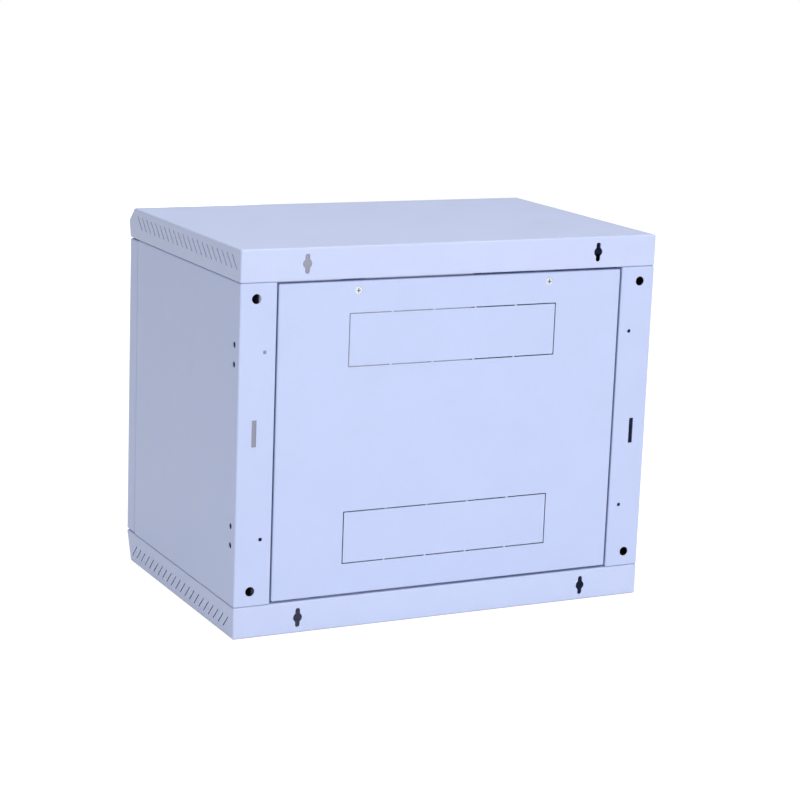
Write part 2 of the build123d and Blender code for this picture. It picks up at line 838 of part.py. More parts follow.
def lock_cylinder():
    """Rotor with its key slot in front and a square end for the cam."""
    front = -lock_face_sheet - rotor_proud
    rotor = Pos(0, 0, front) * rod(rotor_radius, lock_long - front)
    rotor += Pos(0, 0, front) * rod(rotor_head_radius, rotor_head_sheet)
    square = extrude(Rectangle(rotor_square, rotor_square), amount=cam_sheet)
    rotor += Pos(0, 0, lock_long) * square
    wide, long, deep = key_slot
    rotor -= Pos(0, 0, front) * Box(wide, long, 2 * deep)
    tapped = rod(m4[0] + thread_slack, cam_screw_hole)
    rotor -= Pos(0, 0, lock_long + cam_sheet - cam_screw_hole) * tapped
    return on_lock_axis(rotor)


def lock_cam():
    """Cranked tongue, hanging down when unlocked."""
    section = folded([
        (-cam_tail, 0),
        (cam_flat, 0),
        (cam_flat + cam_crank, cam_crank),
        (cam_reach, cam_crank),
    ], cam_sheet)
    tongue = extrude(section, amount=cam_wide / 2, both=True)
    middle = (cam_reach - cam_tail) / 2
    outline = Pos(middle, 0) * SlotOverall(cam_reach + cam_tail, cam_wide)
    tongue &= extrude(Plane.XZ * outline, amount=4 * cut, both=True)
    side = rotor_square + 2 * thread_slack
    tongue -= Box(side, 4 * cut, side)
    return Pos(lock_x, lock_end_y, z_mid) * Rot(0, 90, 0) * tongue


def cam_screw():
    screw = rod(m4[0], cam_screw_long) + Pos(0, 0, -m4[2]) * rod(cam_screw_head, m4[2])
    return along_y(Rot(180, 0, 0) * screw, lock_x, lock_end_y + cam_sheet, z_mid)


def lock_nut():
    nut = hexagon(lock_nut_across, lock_nut_sheet) - rod(lock_barrel + thread_slack, lock_nut_sheet)
    return along_y(nut, lock_x, y_door + door_sheet, z_mid)


# Grounding point on the floor
ground_place = Pos(ground_inset_x - width / 2, y_door + ground_inset_y, cover_sheet)


def ground_stud():
    return ground_place * rod(m6[0], ground_stud_long)


def ground_nut():
    return ground_place * hex_nut(m6)


panel = side_panel()
lower_right_channel = depth_rail()
front_right = {
    "mounting_rail": mounting_rail(),
    "rail_bolts": rail_bolts(),
    "rail_nuts": rail_nuts(),
}

nodes = {
    "top_cover": top_cover(),
    "bottom_cover": bottom_cover(),
    "side_panel_right": panel,
    "side_panel_left": turned_over(panel),
    "cover_bolts": cover_bolts(),
    "cover_nuts": cover_nuts(),
    "rear_panel": rear_panel(),
    "rear_panel_screws": rear_panel_screws(),
    "rear_panel_brackets": rear_panel_brackets(),
    "rear_panel_nuts": rear_panel_nuts(),
    "bracket_rivets": bracket_rivets(),
    "depth_rail_lower_right": lower_right_channel,
    "depth_rail_upper_right": to_top(lower_right_channel),
    "depth_rail_lower_left": to_left(lower_right_channel),
    "depth_rail_upper_left": to_left(to_top(lower_right_channel)),
    "rail_studs": rail_studs(),
    "stud_nuts": stud_nuts(),
    "door_frame": door_frame(),
    "door_glass": door_glass(),
    "glass_gasket": glass_gasket(),
    "glass_clips": glass_clips(),
    "clip_studs": clip_studs(),
    "clip_nuts": clip_nuts(),
    "door_buffers": door_buffers(),
    "upper_hinge_bracket": upper_hinge_bracket(),
    "upper_hinge_pin": upper_hinge_pin(),
    "pin_spring": pin_spring(),
    "upper_hinge_bush": upper_hinge_bush(),
    "lower_hinge_bracket": lower_hinge_bracket(),
    "lower_hinge_pin": lower_hinge_pin(),
    "lower_hinge_bush": lower_hinge_bush(),
    "lock_body": lock_body(),
    "lock_nut": lock_nut(),
    "lock_cylinder": lock_cylinder(),
    "lock_cam": lock_cam(),
    "cam_screw": cam_screw(),
    "ground_stud": ground_stud(),
    "ground_nut": ground_nut(),
}
for name, shape in front_right.items():
    nodes[name + "_front_right"] = shape
    nodes[name + "_front_left"] = to_left(shape)
    nodes[name + "_rear_right"] = to_rear(shape)
    nodes[name + "_rear_left"] = to_left(to_rear(shape))

os.makedirs("parts", exist_ok=True)
for name, shape in nodes.items():
    export_step(shape, "parts/" + name + ".step")
print(len(nodes), "nodes written")
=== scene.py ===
# %% [markdown]
# # A wall mount network cabinet, dressed for its portrait
#
# The cabinet is folded from thin steel sheet and powder coated in a light, cool grey. Its solids
# come ready made from the CAD model, in metres, with the front towards -Y and the wall side
# towards +Y. This lesson gives every solid a finish, adds the small pieces that a CAD model
# leaves out, and then sets the floor, the light and the camera around it.

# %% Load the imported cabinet
import json
import math
import bmesh
import bpy
from mathutils import Matrix, Vector


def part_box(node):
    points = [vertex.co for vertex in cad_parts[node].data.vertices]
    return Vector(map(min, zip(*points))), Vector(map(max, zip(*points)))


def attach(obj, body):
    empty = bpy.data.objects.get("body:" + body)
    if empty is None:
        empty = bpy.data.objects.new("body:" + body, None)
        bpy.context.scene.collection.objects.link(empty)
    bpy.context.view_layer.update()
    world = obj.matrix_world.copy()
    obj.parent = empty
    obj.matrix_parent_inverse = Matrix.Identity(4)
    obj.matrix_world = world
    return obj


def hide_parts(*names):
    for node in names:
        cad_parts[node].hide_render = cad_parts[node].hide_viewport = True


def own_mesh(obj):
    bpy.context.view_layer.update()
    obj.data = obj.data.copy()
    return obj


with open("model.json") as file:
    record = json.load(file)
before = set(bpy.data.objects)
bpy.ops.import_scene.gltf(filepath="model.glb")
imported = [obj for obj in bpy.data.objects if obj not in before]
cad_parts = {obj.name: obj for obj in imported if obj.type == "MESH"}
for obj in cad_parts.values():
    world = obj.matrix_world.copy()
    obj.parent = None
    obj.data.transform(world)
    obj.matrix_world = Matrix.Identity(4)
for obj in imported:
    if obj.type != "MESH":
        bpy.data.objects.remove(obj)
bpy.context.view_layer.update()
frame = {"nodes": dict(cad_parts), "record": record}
nodes = frame["nodes"]

# %% [markdown]
# ## Colours
#
# People read colours as sRGB hex values, but the renderer works with linear light. One function
# turns the first into the second, so that each finish below can be written as it looks.

# %% Turn sRGB hex values to linear light
def linear(colour):
    channels = [int(colour[i:i + 2], 16) / 255 for i in (1, 3, 5)]
    return [c / 12.92 if c <= 0.04045 else ((c + 0.055) / 1.055) ** 2.4 for c in channels] + [1]


print("middle grey:", [round(c, 3) for c in linear("#808080")])

# %% [markdown]
# ## Node trees without clutter
#
# A procedural material is a tree of nodes. Each node needs a kind, some settings, and inputs that
# are either plain values or links from other nodes. One small function does all of that. Patterns
# get their scale from a real size in millimetres, and a noise pattern is stretched before it is
# used, because its values mostly stay in the middle of their range.

# %% Add one node with its settings and inputs
def add(tree, kind, settings, inputs):
    node = tree.nodes.new(kind)
    for name, value in settings.items():
        setattr(node, name, value)
    for name, value in inputs.items():
        if isinstance(value, bpy.types.NodeSocket):
            tree.links.new(value, node.inputs[name])
        else:
            node.inputs[name].default_value = value
    return node


def start_material(name):
    """A new material with an empty node tree."""
    material = bpy.data.materials.new(name)
    material.use_nodes = True
    material.node_tree.nodes.clear()
    return material, material.node_tree


def per_metre(millimetres):
    """Texture scale at which one cell of a pattern measures this many millimetres."""
    return 1000 / millimetres


noise_low = 0.3
noise_high = 0.7
print("a 2 mm grain has scale", per_metre(2), "and values from", noise_low, "to", noise_high)

# %% [markdown]
# ## Painted shade in seams and recesses
#
# Seams, slots and holes are drawn darker than the light alone makes them: this is painted shade,
# put into the colour. The Ambient Occlusion node measures how closed in each point is, within a
# given reach, and the helper turns that into a factor that darkens the colour.

# %% Darken what is closed in
closed_in = 0.1  # openness at which the shade is deepest
in_the_open = 0.65  # openness from which there is no shade


# Painted shade: this factor darkens a colour where the point is closed in.
def painted_shade_factor(tree, reach, deepest):
    """Painted shade: a colour factor from 1 in the open down to the deepest value in seams and
    recesses.
    """
    nook = add(tree, "ShaderNodeAmbientOcclusion", {"samples": 6}, {"Distance": reach})
    shade = add(tree, "ShaderNodeMapRange", {},
                {"Value": nook.outputs["AO"], "From Min": closed_in, "From Max": in_the_open,
                 "To Min": deepest, "To Max": 1.0})
    return shade.outputs["Result"]


print("shade falls off between", closed_in, "and", in_the_open)

# %% [markdown]
# ## Powder coat
#
# The covers, side panels, rear panel and door are coated with polyester powder that melts and
# flows in an oven. The film never levels out fully: it keeps a fine orange peel, about a
# millimetre across, which softens every reflection. The thin sheet below is never quite flat
# either, so broad waves a hand wide drift through the shine. Both are bumps here. The peel is
# drawn twice as coarse as the real one, so that it still shows in a picture of the whole cabinet.
# The film also rounds each cut edge by about half a millimetre, which the Bevel node shows
# without any change to the mesh. The covers look a touch lighter than the panels in the
# photograph. The depth rails look almost black through the holes, so they get a dark coat.

# %% Powder coat, light grey with a cool tinge
peel_mm = 2.0  # orange peel, drawn twice as coarse as the real one
wave_mm = 170  # slow waves of the thin sheet
cloud_mm = 60  # patches where the film's tone and shine drift a little
peel_height = 0.00012  # metres, as are the next two
wave_height = 0.0012
coat_edge = 0.0005


def powder_coat(name, colour):
    material, tree = start_material(name)
    place = add(tree, "ShaderNodeTexCoord", {}, {})
    peel = add(tree, "ShaderNodeTexNoise", {},
               {"Vector": place.outputs["Object"], "Scale": per_metre(peel_mm), "Detail": 2.0,
                "Roughness": 0.45})
    wave = add(tree, "ShaderNodeTexNoise", {},
               {"Vector": place.outputs["Object"], "Scale": per_metre(wave_mm), "Detail": 1.0})
    cloud = add(tree, "ShaderNodeTexNoise", {},
                {"Vector": place.outputs["Object"], "Scale": per_metre(cloud_mm), "Detail": 4.0,
                 "Roughness": 0.6})
    tone = add(tree, "ShaderNodeMapRange", {},
               {"Value": cloud.outputs["Fac"], "From Min": noise_low, "From Max": noise_high,
                "To Min": 0.985, "To Max": 1.015})
    speck = add(tree, "ShaderNodeMapRange", {},
                {"Value": peel.outputs["Fac"], "From Min": noise_low, "From Max": noise_high,
                 "To Min": 0.99, "To Max": 1.01})
    both = add(tree, "ShaderNodeMath", {"operation": "MULTIPLY"},
               {0: tone.outputs["Result"], 1: speck.outputs["Result"]})
    # Painted shade: the coat's colour is darkened in seams, slots and holes.
    cover = add(tree, "ShaderNodeMath", {"operation": "MULTIPLY"},
                {0: both.outputs["Value"], 1: painted_shade_factor(tree, reach=0.004, deepest=0.5)})
    paint = add(tree, "ShaderNodeVectorMath", {"operation": "SCALE"},
                {0: linear(colour)[:3], "Scale": cover.outputs["Value"]})
    shine = add(tree, "ShaderNodeMapRange", {},
                {"Value": cloud.outputs["Fac"], "From Min": noise_low, "From Max": noise_high,
                 "To Min": 0.40, "To Max": 0.48})
    edge = add(tree, "ShaderNodeBevel", {"samples": 4}, {"Radius": coat_edge})
    sheet = add(tree, "ShaderNodeBump", {},
                {"Height": wave.outputs["Fac"], "Strength": 0.6, "Distance": wave_height,
                 "Normal": edge.outputs["Normal"]})
    film = add(tree, "ShaderNodeBump", {},
               {"Height": peel.outputs["Fac"], "Strength": 0.25, "Distance": peel_height,
                "Normal": sheet.outputs["Normal"]})
    shader = add(tree, "ShaderNodeBsdfPrincipled", {},
                 {"Base Color": paint.outputs["Vector"], "Roughness": shine.outputs["Result"],
                  "IOR": 1.5, "Normal": film.outputs["Normal"]})
    add(tree, "ShaderNodeOutputMaterial", {}, {"Surface": shader.outputs["BSDF"]})
    return material


panel_coat = powder_coat("powder coat on the panels", "#C2CEF2")
cover_coat = powder_coat("powder coat on the covers", "#C7D2F3")
rail_coat = powder_coat("dark powder coat on the depth rails", "#3A3E46")
print("made", panel_coat.name, cover_coat.name, rail_coat.name)

# %% [markdown]
# ## Zinc-plated sheet
#
# The mounting rails and brackets inside are bare zinc-coated sheet. Hot zinc freezes in
# crystals, the spangle, some ten millimetres wide, each a little lighter or darker than the next.
# A Voronoi pattern has just such cells, and a noise bends their straight edges. Rolling leaves a
# soft haze, so the metal is not a mirror. Where it is closed in, its colour is darkened as painted
# shade.

# %% Zinc-coated sheet with a faint spangle
spangle_mm = 11
bend_mm = 8  # how far apart the bends of a crystal's edge are
rolled_mm = 1.5  # grain that the rollers leave
bend_reach = 0.004  # metres, as is the next
rolled_height = 0.0001


def zinc_sheet():
    material, tree = start_material("zinc-coated steel sheet")
    place = add(tree, "ShaderNodeTexCoord", {}, {})
    bend = add(tree, "ShaderNodeTexNoise", {},
               {"Vector": place.outputs["Object"], "Scale": per_metre(bend_mm), "Detail": 2.0})
    warp = add(tree, "ShaderNodeVectorMath", {"operation": "MULTIPLY_ADD"},
               {0: bend.outputs["Color"], 1: (bend_reach, bend_reach, bend_reach),
                2: place.outputs["Object"]})
    spangle = add(tree, "ShaderNodeTexVoronoi", {},
                  {"Vector": warp.outputs["Vector"], "Scale": per_metre(spangle_mm)})
    grey = add(tree, "ShaderNodeRGBToBW", {}, {"Color": spangle.outputs["Color"]})
    metal = add(tree, "ShaderNodeMix", {"data_type": "RGBA"},
                {"Factor": grey.outputs["Val"], 6: linear("#8D95A0"), 7: linear("#A8B0BB")})
    # Painted shade: the zinc's colour is darkened where it is closed in.
    zinc_with_painted_shade = add(tree, "ShaderNodeVectorMath", {"operation": "SCALE"},
               {0: metal.outputs[2], "Scale": painted_shade_factor(tree, reach=0.03, deepest=0.2)})
    haze = add(tree, "ShaderNodeMapRange", {},
               {"Value": grey.outputs["Val"], "To Min": 0.34, "To Max": 0.5})
    grain = add(tree, "ShaderNodeTexNoise", {},
                {"Vector": place.outputs["Object"], "Scale": per_metre(rolled_mm), "Detail": 3.0})
    rolled = add(tree, "ShaderNodeBump", {},
                 {"Height": grain.outputs["Fac"], "Strength": 0.15, "Distance": rolled_height})
    shader = add(tree, "ShaderNodeBsdfPrincipled", {},
                 {"Base Color": zinc_with_painted_shade.outputs["Vector"], "Metallic": 1.0,
                  "Roughness": haze.outputs["Result"], "Normal": rolled.outputs["Normal"]})
    add(tree, "ShaderNodeOutputMaterial", {}, {"Surface": shader.outputs["BSDF"]})
    return material


sheet_zinc = zinc_sheet()
print("made", sheet_zinc.name)

# %% [markdown]
# ## Plated fasteners, spring wire and chrome
#
# Screws, nuts, pins and rivets are barrel-plated with bright zinc: they tumble against each other
# in the bath and come out shiny with tiny dents. Drawn spring wire is darker and smoother. The
# lock is die cast and chrome plated, the smoothest metal here. All three are the same kind of
# surface with other numbers, so one function makes them, with painted shade in the recesses and
# edges that the tumbling has rounded a little.

# %% Bright metals
worn_edge = 0.0003  # metres, as is the next
dent_depth = 0.00008


def bright_metal(name, colour, roughness, dent_mm):
    material, tree = start_material(name)
    place = add(tree, "ShaderNodeTexCoord", {}, {})
    dents = add(tree, "ShaderNodeTexNoise", {},
                {"Vector": place.outputs["Object"], "Scale": per_metre(dent_mm), "Detail": 3.0})
    tone = add(tree, "ShaderNodeMapRange", {},
               {"Value": dents.outputs["Fac"], "From Min": noise_low, "From Max": noise_high,
                "To Min": 0.92, "To Max": 1.04})
    # Random tone of the dents, times painted shade in the recesses.
    dents_and_painted_shade = add(tree, "ShaderNodeMath", {"operation": "MULTIPLY"},
                {0: tone.outputs["Result"], 1: painted_shade_factor(tree, reach=0.003, deepest=0.25)})
    metal = add(tree, "ShaderNodeVectorMath", {"operation": "SCALE"},
                {0: linear(colour)[:3], "Scale": dents_and_painted_shade.outputs["Value"]})
    rub = add(tree, "ShaderNodeMapRange", {},
              {"Value": dents.outputs["Fac"], "From Min": noise_low, "From Max": noise_high,
               "To Min": roughness * 0.8, "To Max": roughness * 1.3})
    edge = add(tree, "ShaderNodeBevel", {"samples": 4}, {"Radius": worn_edge})
    bump = add(tree, "ShaderNodeBump", {},
               {"Height": dents.outputs["Fac"], "Strength": 0.12, "Distance": dent_depth,
                "Normal": edge.outputs["Normal"]})
    shader = add(tree, "ShaderNodeBsdfPrincipled", {},
                 {"Base Color": metal.outputs["Vector"], "Metallic": 1.0,
                  "Roughness": rub.outputs["Result"], "Normal": bump.outputs["Normal"]})
    add(tree, "ShaderNodeOutputMaterial", {}, {"Surface": shader.outputs["BSDF"]})
    return material


fastener_zinc = bright_metal("bright zinc plate", "#DCE3EA", roughness=0.22, dent_mm=1.2)
spring_wire = bright_metal("drawn spring wire", "#9A9B9C", roughness=0.22, dent_mm=0.8)
lock_chrome = bright_metal("chrome plate", "#DADBDD", roughness=0.09, dent_mm=3.0)
print("made", fastener_zinc.name, spring_wire.name, lock_chrome.name)

# %% [markdown]
# ## Smoked glass
#
# The door holds a pane of tempered glass, tinted in the melt, so it lets about a third of the
# light through with a faint mauve cast. Glass has an IOR of 1.52 and no metallic part. The pane is
# a closed solid, so light crosses two faces and each takes its share of the tint. The rollers of
# the tempering oven leave shallow waves, which bend a reflection a little.

# %% Smoked tempered glass
roller_mm = 120
roller_height = 0.0004  # metres


def smoked_glass():
    material, tree = start_material("smoked tempered glass")
    place = add(tree, "ShaderNodeTexCoord", {}, {})
    roller = add(tree, "ShaderNodeTexNoise", {},
                 {"Vector": place.outputs["Object"], "Scale": per_metre(roller_mm), "Detail": 0.0})
    wave = add(tree, "ShaderNodeBump", {},
               {"Height": roller.outputs["Fac"], "Strength": 0.3, "Distance": roller_height})
    shader = add(tree, "ShaderNodeBsdfPrincipled", {},
                 {"Base Color": linear("#9698A8"), "Roughness": 0.02, "IOR": 1.52,
                  "Transmission Weight": 1.0, "Normal": wave.outputs["Normal"]})
    add(tree, "ShaderNodeOutputMaterial", {}, {"Surface": shader.outputs["BSDF"]})
    return material


door_tint = smoked_glass()
print("made", door_tint.name)

# %% [markdown]
# ## Rubber and bush plastic
#
# The gasket and the door's buffers are black moulded rubber: dark, and rough enough to show no
# reflection. The hinge bushes are natural white acetal, a slippery plastic that light enters a
# little way, so it gets some subsurface scattering.

# %% Moulded rubber and acetal
skin_height = 0.0001  # metres, as is the next
scatter_reach = 0.001


def moulded(name, colour, roughness, grain_mm, scatter=0.0):
    material, tree = start_material(name)
    place = add(tree, "ShaderNodeTexCoord", {}, {})
    skin = add(tree, "ShaderNodeTexNoise", {},
               {"Vector": place.outputs["Object"], "Scale": per_metre(grain_mm), "Detail": 4.0})
    tone = add(tree, "ShaderNodeMapRange", {},
               {"Value": skin.outputs["Fac"], "From Min": noise_low, "From Max": noise_high,
                "To Min": 0.9, "To Max": 1.1})
    body = add(tree, "ShaderNodeVectorMath", {"operation": "SCALE"},
               {0: linear(colour)[:3], "Scale": tone.outputs["Result"]})
    bump = add(tree, "ShaderNodeBump", {},
               {"Height": skin.outputs["Fac"], "Strength": 0.3, "Distance": skin_height})
    shader = add(tree, "ShaderNodeBsdfPrincipled", {},
                 {"Base Color": body.outputs["Vector"], "Roughness": roughness, "IOR": 1.48,
                  "Subsurface Weight": scatter, "Subsurface Scale": scatter_reach,
                  "Normal": bump.outputs["Normal"]})
    add(tree, "ShaderNodeOutputMaterial", {}, {"Surface": shader.outputs["BSDF"]})
    return material


gasket_rubber = moulded("moulded black rubber", "#1D1D1E", roughness=0.72, grain_mm=0.6)
bush_acetal = moulded("natural acetal", "#E8E6DC", roughness=0.42, grain_mm=1.0, scatter=0.15)
print("made", gasket_rubber.name, bush_acetal.name)

# %% [markdown]
# ## Dress every solid
#
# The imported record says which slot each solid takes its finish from. The dictionary below joins
# slots and finishes, and the loop swaps the plain CAD materials for them. The two covers and the
# four depth rails share the panels' slot, but look lighter and darker, so they get their own coat.

# %% Give each solid its finish
finish_of = {
    "powder_coat": panel_coat,
    "zinc_sheet": sheet_zinc,
    "zinc_fastener": fastener_zinc,
    "spring_steel": spring_wire,
    "smoked_glass": door_tint,
    "black_rubber": gasket_rubber,
    "bush_plastic": bush_acetal,
    "lock_chrome": lock_chrome,
}
for entry in frame["record"]["subparts"]:
    solid = nodes[entry["node"]]
    finish = finish_of[entry["material_slot"]]
    if entry["node"] in ("top_cover", "bottom_cover"):
        finish = cover_coat
    if entry["node"].startswith("depth_rail"):
        finish = rail_coat
    for place in solid.material_slots:
        place.material = finish

# %% [markdown]
# ## Pieces made in mesh code
#
# Three kinds of piece are plain in the CAD model: the spring of the upper hinge pin, the threaded
# studs, and the nuts and bolts. The pieces below stand for those solids, in the same place and no
# bigger. One function turns lists of points and faces into a finished piece: it turns every face
# outwards, marks the edges that stay sharp, gives the finish, and says which body the piece moves
# with. Each of these pieces is a stack of rings of points, so another function joins the rings.

# %% Turn points and faces into a piece
sharp_from = math.radians(40)


def make_piece(node, points, faces, body, slot):
    mesh = bpy.data.meshes.new(node + "_made")
    mesh.from_pydata(points, [], faces)
    shape = bmesh.new()
    shape.from_mesh(mesh)
    bmesh.ops.recalc_face_normals(shape, faces=shape.faces)
    shape.to_mesh(mesh)
    shape.free()
    mesh.polygons.foreach_set("use_smooth", [True] * len(mesh.polygons))
    mesh.set_sharp_from_angle(angle=sharp_from)
    mesh.materials.append(finish_of[slot])
    piece = bpy.data.objects.new(node + "_made", mesh)
    bpy.context.scene.collection.objects.link(piece)
    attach(piece, body)
    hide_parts(node)
    print(piece.name, "has", len(mesh.polygons), "faces")
    return piece


print("edges stay sharp from", round(math.degrees(sharp_from)), "degrees")

# %% Join rings of points
def tube_faces(rings, sides):
    """Quads between rings of points, and a cap at each end."""
    faces = [tuple(range(sides - 1, -1, -1))]
    for ring in range(rings - 1):
        for side in range(sides):
            a = ring * sides + side
            b = ring * sides + (side + 1) % sides
            faces.append((a, b, b + sides, a + sides))
    faces.append(tuple((rings - 1) * sides + side for side in range(sides)))
    return faces


print("a tube of 2 rings with 3 sides has", len(tube_faces(2, 3)), "faces")

# %% [markdown]
# ## The hinge pin's spring
#
# A small compression spring pushes the upper hinge pin into its bush. It is coiled from drawn
# wire. At each end the last turn lies flat on its neighbour and is ground square, so that the
# spring stands straight on its seat. The CAD solid is an even coil. A curve with a bevel would
# give a round wire, but not the ground ends, so a ring of points is carried along the helix here,
# and the ends are ground by limiting the points' height.

# %% Coil spring with closed, ground ends
def coil_spring(low, high, wire, turns, steps=40, sides=12):
    tall = high.z - low.z
    centre = (low + high) / 2
    radius = (high.x - low.x - wire) / 2
    open_pitch = (tall - 2 * wire) / (turns - 2)
    points = []
    for step in range(turns * steps + 1):
        turn = step / steps
        closed = min(turn, 1) + max(turn - (turns - 1), 0)
        height = low.z + closed * wire + (turn - closed) * open_pitch
        angle = 2 * math.pi * turn
        for side in range(sides):
            around = 2 * math.pi * side / sides
            reach = radius + wire / 2 * math.cos(around)
            level = height + wire / 2 * math.sin(around)
            points.append((centre.x + reach * math.cos(angle), centre.y + reach * math.sin(angle),
                           min(max(level, low.z), high.z)))
    return points, tube_faces(turns * steps + 1, sides)


wire_width = 0.0009  # metres
spring_turns = 9
spring_low, spring_high = (Vector(corner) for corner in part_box("pin_spring"))
points, faces = coil_spring(spring_low, spring_high, wire_width, spring_turns)
spring = make_piece("pin_spring", points, faces, "door", "spring_steel")
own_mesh(spring)

# %% [markdown]
# ## Threads
#
# The ground stud, the studs that carry the channels and the studs of the glass clips are plain
# rods in the CAD model. Real ones have a rolled metric thread, which catches the light as fine
# bright rings. A bump would not change the outline, so the thread is real here: the rod is a grid
# of points, and each point sinks by the thread's depth as it leaves the crest, which climbs one
# pitch for each turn. The crests and roots are flattened a little, as rolling leaves them. One
# node holds several like fasteners, so each solid's own low and high corner is looked up first:
# points that hang together by edges belong to one solid.

# %% Find each solid of a node
same_point = 1e-6


def corners_of_solids(node):
    shape = bmesh.new()
    shape.from_mesh(nodes[node].data)
    shape.transform(nodes[node].matrix_world)
    bmesh.ops.remove_doubles(shape, verts=shape.verts, dist=same_point)
    found = []
    waiting = set(shape.verts)
    while waiting:
        front = [waiting.pop()]
        solid = list(front)
        while front:
            for edge in front.pop().link_edges:
                for point in edge.verts:
                    if point in waiting:
                        waiting.remove(point)
                        front.append(point)
                        solid.append(point)
        found.append(tuple(Vector([pick(point.co[i] for point in solid) for i in range(3)])
                           for pick in (min, max)))
    shape.free()
    return sorted(found, key=lambda corners: tuple(corners[0]))


print("ground stud from", [round(v, 4) for v in corners_of_solids("ground_stud")[0][0]])

# %% Threaded rods
thread_depth = 0.61  # of the pitch, as in a metric thread
flat_crest = 0.1  # of the slope's height, at the crest and again at the root


def rim_point(low, high, along, place, reach, angle):
    """Point at a place along one axis, at some reach and angle from the solid's middle line."""
    across = (along + 1) % 3
    third = (along + 2) % 3
    point = [0, 0, 0]
    point[along] = place
    point[across] = (low[across] + high[across]) / 2 + reach * math.cos(angle)
    point[third] = (low[third] + high[third]) / 2 + reach * math.sin(angle)
    return tuple(point)


def threaded_rod(low, high, along, pitch, steps=24, rows_per_pitch=6):
    across = (along + 1) % 3
    radius = (high[across] - low[across]) / 2
    depth = thread_depth * pitch
    rows = math.ceil((high[along] - low[along]) / pitch * rows_per_pitch)
    points = []
    for row in range(rows + 1):
        place = low[along] + (high[along] - low[along]) * row / rows
        end = min(place - low[along], high[along] - place)
        for step in range(steps):
            angle = 2 * math.pi * step / steps
            wave = abs(2 * ((place / pitch - step / steps) % 1) - 1)
            sunk = depth * min(max((wave - flat_crest) / (1 - 2 * flat_crest), 0), 1)
            reach = min(radius - sunk, radius - depth + end)
            points.append(rim_point(low, high, along, place, reach, angle))
    return points, tube_faces(rows + 1, steps)


print("an M6 thread is", thread_depth, "mm deep")

# %% Studs
def fasteners(node, body, shape, **sizes):
    """One piece for a node of like fasteners, each made by shape(low, high, ...)."""
    points, faces = [], []
    for low, high in corners_of_solids(node):
        for more_points, more_faces in shape(low, high, **sizes):
            faces += [tuple(corner + len(points) for corner in face) for face in more_faces]
            points += more_points
    return make_piece(node, points, faces, body, "zinc_fastener")


def stud(low, high, along, pitch):
    return [threaded_rod(low, high, along, pitch)]


m4_pitch = 0.0007  # metres, as is the next
m6_pitch = 0.001
fasteners("ground_stud", "cabinet", stud, along=2, pitch=m6_pitch)
fasteners("rail_studs", "cabinet", stud, along=0, pitch=m6_pitch)
fasteners("clip_studs", "door", stud, along=1, pitch=m4_pitch)

# %% [markdown]
# ## Hexagon nuts and bolts
#
# A pressed nut is more than a hexagon with a hole. Its corners are turned off at 30 degrees on
# both faces, which leaves a round bright face and a curved line on each flat, and the hole has a
# small countersink. A bolt's head has that chamfer on its outer face only. Here each is a stack
# of rings: every ring follows the hexagon, but is held inside the cone that the chamfer cuts. A
# bore adds four more rings inside, with a countersink at each end.

# %% Chamfered hexagons
chamfer_levels = (0, 0.03, 0.06, 0.09, 0.12)  # shares of half the width across the flats
round_face = 0.95  # radius of the face inside the chamfer, as a share of the same
sink_share = 0.1  # depth of the bore's countersink, as a share of the same
chamfer_slope = math.sqrt(3)  # a 30-degree chamfer


def hexagon_rings(low, high, along, bore, both_ends, steps=48):
    """Rings of a chamfered hexagon; the end at the high corner is always chamfered."""
    across = (along + 1) % 3
    third = (along + 2) % 3
    wide, deep = (high[i] - low[i] for i in (across, third))
    flat = min(wide, deep) / 2
    corner_at = 0 if wide > deep else math.pi / 6
    tall = high[along] - low[along]
    levels = [share * flat for share in chamfer_levels]
    rows = [(level, level if both_ends else tall) for level in levels]
    rows += [(tall - level, level) for level in reversed(levels)]
    angles = [2 * math.pi * step / steps for step in range(steps)]
    points = []
    for place, from_end in rows:
        cone = round_face * flat + from_end * chamfer_slope
        for angle in angles:
            side = flat / math.cos((angle - corner_at) % (math.pi / 3) - math.pi / 6)
            points.append(rim_point(low, high, along, low[along] + place, min(side, cone), angle))
    if bore:
        sink = sink_share * flat
        inside = ((tall, bore + sink), (tall - sink, bore), (sink, bore), (0, bore + sink))
        for place, reach in inside:
            points += [rim_point(low, high, along, low[along] + place, reach, angle)
                       for angle in angles]
    rings = len(points) // steps
    faces = tube_faces(rings, steps)
    if bore:
        last = (rings - 1) * steps
        faces = faces[1:-1] + [(last + side, last + (side + 1) % steps, (side + 1) % steps, side)
                               for side in range(steps)]
    return points, faces


print("a chamfer reaches", chamfer_levels[-1], "of the half width down")

# %% Nuts
def nut(low, high, along, bore):
    return [hexagon_rings(low, high, along, bore, both_ends=True)]


m4_bore = 0.00205  # radius in metres, as is the next; each clears its stud by 0.05 mm
m6_bore = 0.00305
fasteners("ground_nut", "cabinet", nut, along=2, bore=m6_bore)
fasteners("stud_nuts", "cabinet", nut, along=0, bore=m6_bore)
fasteners("clip_nuts", "door", nut, along=1, bore=m4_bore)

# %% [markdown]
# ## Rail bolts and their nuts
#
# Bolts through the channels' slots hold the four mounting rails, and slide along with them when a
# rail is moved, so each rail's bolts and nuts are pieces of that rail's own body. A bolt is a
# hexagon with one chamfered end and a threaded rod that starts at its other face. The heads face
# the middle of the rack, so the hexagon is mirrored on one side, and its faces are listed the
# other way round there.

# %% Rail bolts and their nuts
bolt_head = 0.004  # metres, as is the next
bolt_radius = 0.003


